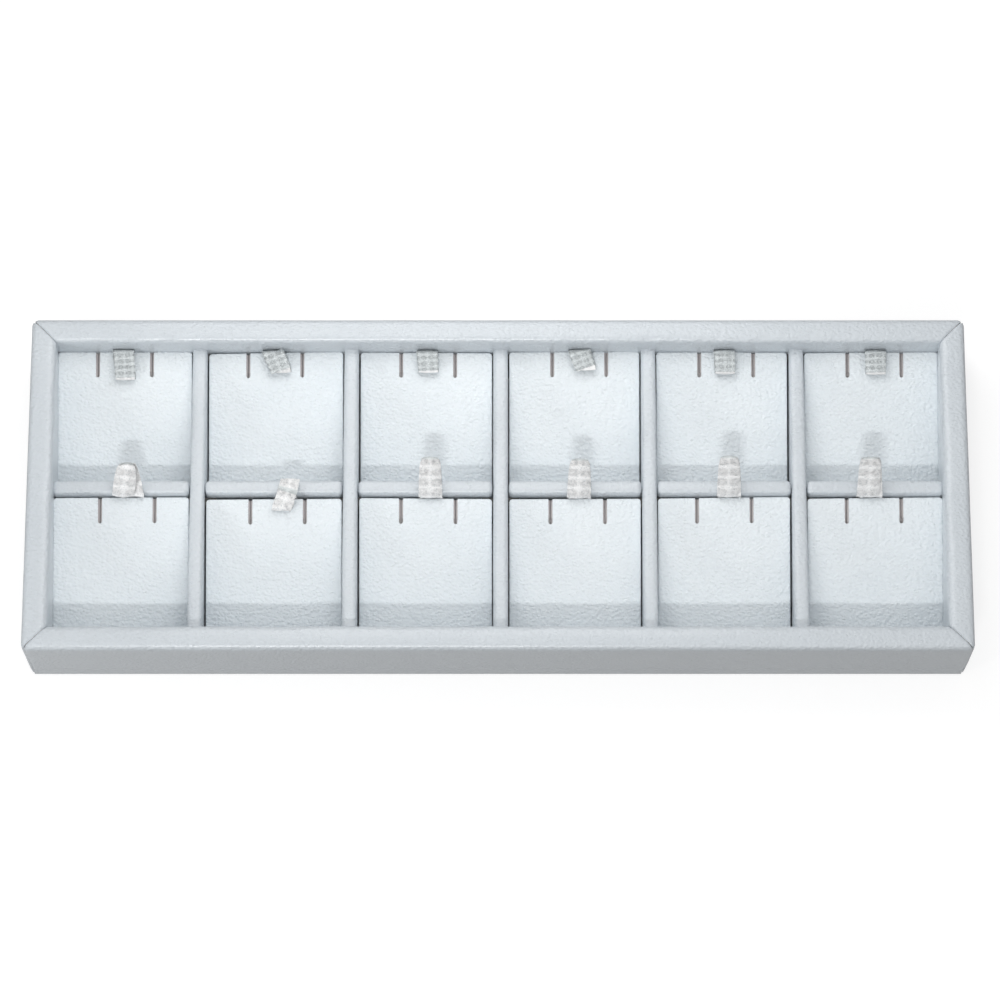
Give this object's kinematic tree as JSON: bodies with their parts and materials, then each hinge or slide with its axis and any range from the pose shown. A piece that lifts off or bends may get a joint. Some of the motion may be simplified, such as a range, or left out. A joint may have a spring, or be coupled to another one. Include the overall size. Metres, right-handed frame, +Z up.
{
  "type": "earring tray",
  "caption": "Shallow wrapped tray with rows of sloping hinged flaps between dividers, each flap slotted for stud earrings and lifted by a loop of ribbon.",
  "frame": {"origin": "middle of the footprint, on the surface that the tray stands on", "axes": "+X along the tray, -Y is the front, +Z up"},
  "size_m": [0.2538, 0.0944, 0.0265],
  "materials": {
    "frame_leatherette": "fine pebbled grain, satin",
    "flap_leatherette": "fine pebbled grain, satin",
    "ribbon": "crinkled satin ribbon, silvery sheen",
    "greyboard": "plain, matt",
    "core_wood": "plain softwood, unfinished",
    "lining_paper": "plain, matt"
  },
  "bodies": {
    "root": {"base_board": "greyboard", "base_lining": "lining_paper", "rail_cores": "core_wood", "front_rail_cover": "frame_leatherette", "rear_rail_cover": "frame_leatherette", "left_rail_cover": "frame_leatherette", "right_rail_cover": "frame_leatherette", "divider_1": "frame_leatherette", "divider_2": "frame_leatherette", "divider_3": "frame_leatherette", "divider_4": "frame_leatherette", "divider_5": "frame_leatherette", "divider_cores": "core_wood", "cross_rail_1": "frame_leatherette", "cross_rail_2": "frame_leatherette", "cross_rail_3": "frame_leatherette", "cross_rail_4": "frame_leatherette", "cross_rail_5": "frame_leatherette", "cross_rail_6": "frame_leatherette", "cross_rail_cores": "core_wood", "rear_corner_posts": "core_wood", "front_corner_posts": "core_wood", "rear_flap_hinges": "flap_leatherette", "front_flap_hinges": "flap_leatherette"},
    "rear_flap_1": {"rear_flap_1_board": "greyboard", "rear_flap_1_cover": "flap_leatherette", "rear_flap_1_tab": "ribbon"},
    "rear_flap_2": {"rear_flap_2_board": "greyboard", "rear_flap_2_cover": "flap_leatherette", "rear_flap_2_tab": "ribbon"},
    "rear_flap_3": {"rear_flap_3_board": "greyboard", "rear_flap_3_cover": "flap_leatherette", "rear_flap_3_tab": "ribbon"},
    "rear_flap_4": {"rear_flap_4_board": "greyboard", "rear_flap_4_cover": "flap_leatherette", "rear_flap_4_tab": "ribbon"},
    "rear_flap_5": {"rear_flap_5_board": "greyboard", "rear_flap_5_cover": "flap_leatherette", "rear_flap_5_tab": "ribbon"},
    "rear_flap_6": {"rear_flap_6_board": "greyboard", "rear_flap_6_cover": "flap_leatherette", "rear_flap_6_tab": "ribbon"},
    "front_flap_1": {"front_flap_1_board": "greyboard", "front_flap_1_cover": "flap_leatherette", "front_flap_1_tab": "ribbon"},
    "front_flap_2": {"front_flap_2_board": "greyboard", "front_flap_2_cover": "flap_leatherette", "front_flap_2_tab": "ribbon"},
    "front_flap_3": {"front_flap_3_board": "greyboard", "front_flap_3_cover": "flap_leatherette", "front_flap_3_tab": "ribbon"},
    "front_flap_4": {"front_flap_4_board": "greyboard", "front_flap_4_cover": "flap_leatherette", "front_flap_4_tab": "ribbon"},
    "front_flap_5": {"front_flap_5_board": "greyboard", "front_flap_5_cover": "flap_leatherette", "front_flap_5_tab": "ribbon"},
    "front_flap_6": {"front_flap_6_board": "greyboard", "front_flap_6_cover": "flap_leatherette", "front_flap_6_tab": "ribbon"}
  },
  "joints": [
    {"name": "rear_flap_1_hinge", "type": "hinge", "parent": "root", "child": "rear_flap_1", "pos_m": [-0.10236, 0.0032, 0.00657], "axis": [1, 0, 0], "range_deg": [0, 60]},
    {"name": "rear_flap_2_hinge", "type": "hinge", "parent": "root", "child": "rear_flap_2", "pos_m": [-0.06085, 0.0032, 0.00657], "axis": [1, 0, 0], "range_deg": [0, 60]},
    {"name": "rear_flap_3_hinge", "type": "hinge", "parent": "root", "child": "rear_flap_3", "pos_m": [-0.0197, 0.0032, 0.00657], "axis": [1, 0, 0], "range_deg": [0, 60]},
    {"name": "rear_flap_4_hinge", "type": "hinge", "parent": "root", "child": "rear_flap_4", "pos_m": [0.02091, 0.0032, 0.00657], "axis": [1, 0, 0], "range_deg": [0, 60]},
    {"name": "rear_flap_5_hinge", "type": "hinge", "parent": "root", "child": "rear_flap_5", "pos_m": [0.06141, 0.0032, 0.00657], "axis": [1, 0, 0], "range_deg": [0, 60]},
    {"name": "rear_flap_6_hinge", "type": "hinge", "parent": "root", "child": "rear_flap_6", "pos_m": [0.1024, 0.0032, 0.00657], "axis": [1, 0, 0], "range_deg": [0, 60]},
    {"name": "front_flap_1_hinge", "type": "hinge", "parent": "root", "child": "front_flap_1", "pos_m": [-0.10236, -0.03955, 0.00657], "axis": [1, 0, 0], "range_deg": [0, 60]},
    {"name": "front_flap_2_hinge", "type": "hinge", "parent": "root", "child": "front_flap_2", "pos_m": [-0.06085, -0.03955, 0.00657], "axis": [1, 0, 0], "range_deg": [0, 60]},
    {"name": "front_flap_3_hinge", "type": "hinge", "parent": "root", "child": "front_flap_3", "pos_m": [-0.0197, -0.03955, 0.00657], "axis": [1, 0, 0], "range_deg": [0, 60]},
    {"name": "front_flap_4_hinge", "type": "hinge", "parent": "root", "child": "front_flap_4", "pos_m": [0.02091, -0.03955, 0.00657], "axis": [1, 0, 0], "range_deg": [0, 60]},
    {"name": "front_flap_5_hinge", "type": "hinge", "parent": "root", "child": "front_flap_5", "pos_m": [0.06141, -0.03955, 0.00657], "axis": [1, 0, 0], "range_deg": [0, 60]},
    {"name": "front_flap_6_hinge", "type": "hinge", "parent": "root", "child": "front_flap_6", "pos_m": [0.1024, -0.03955, 0.00657], "axis": [1, 0, 0], "range_deg": [0, 60]}
  ]
}
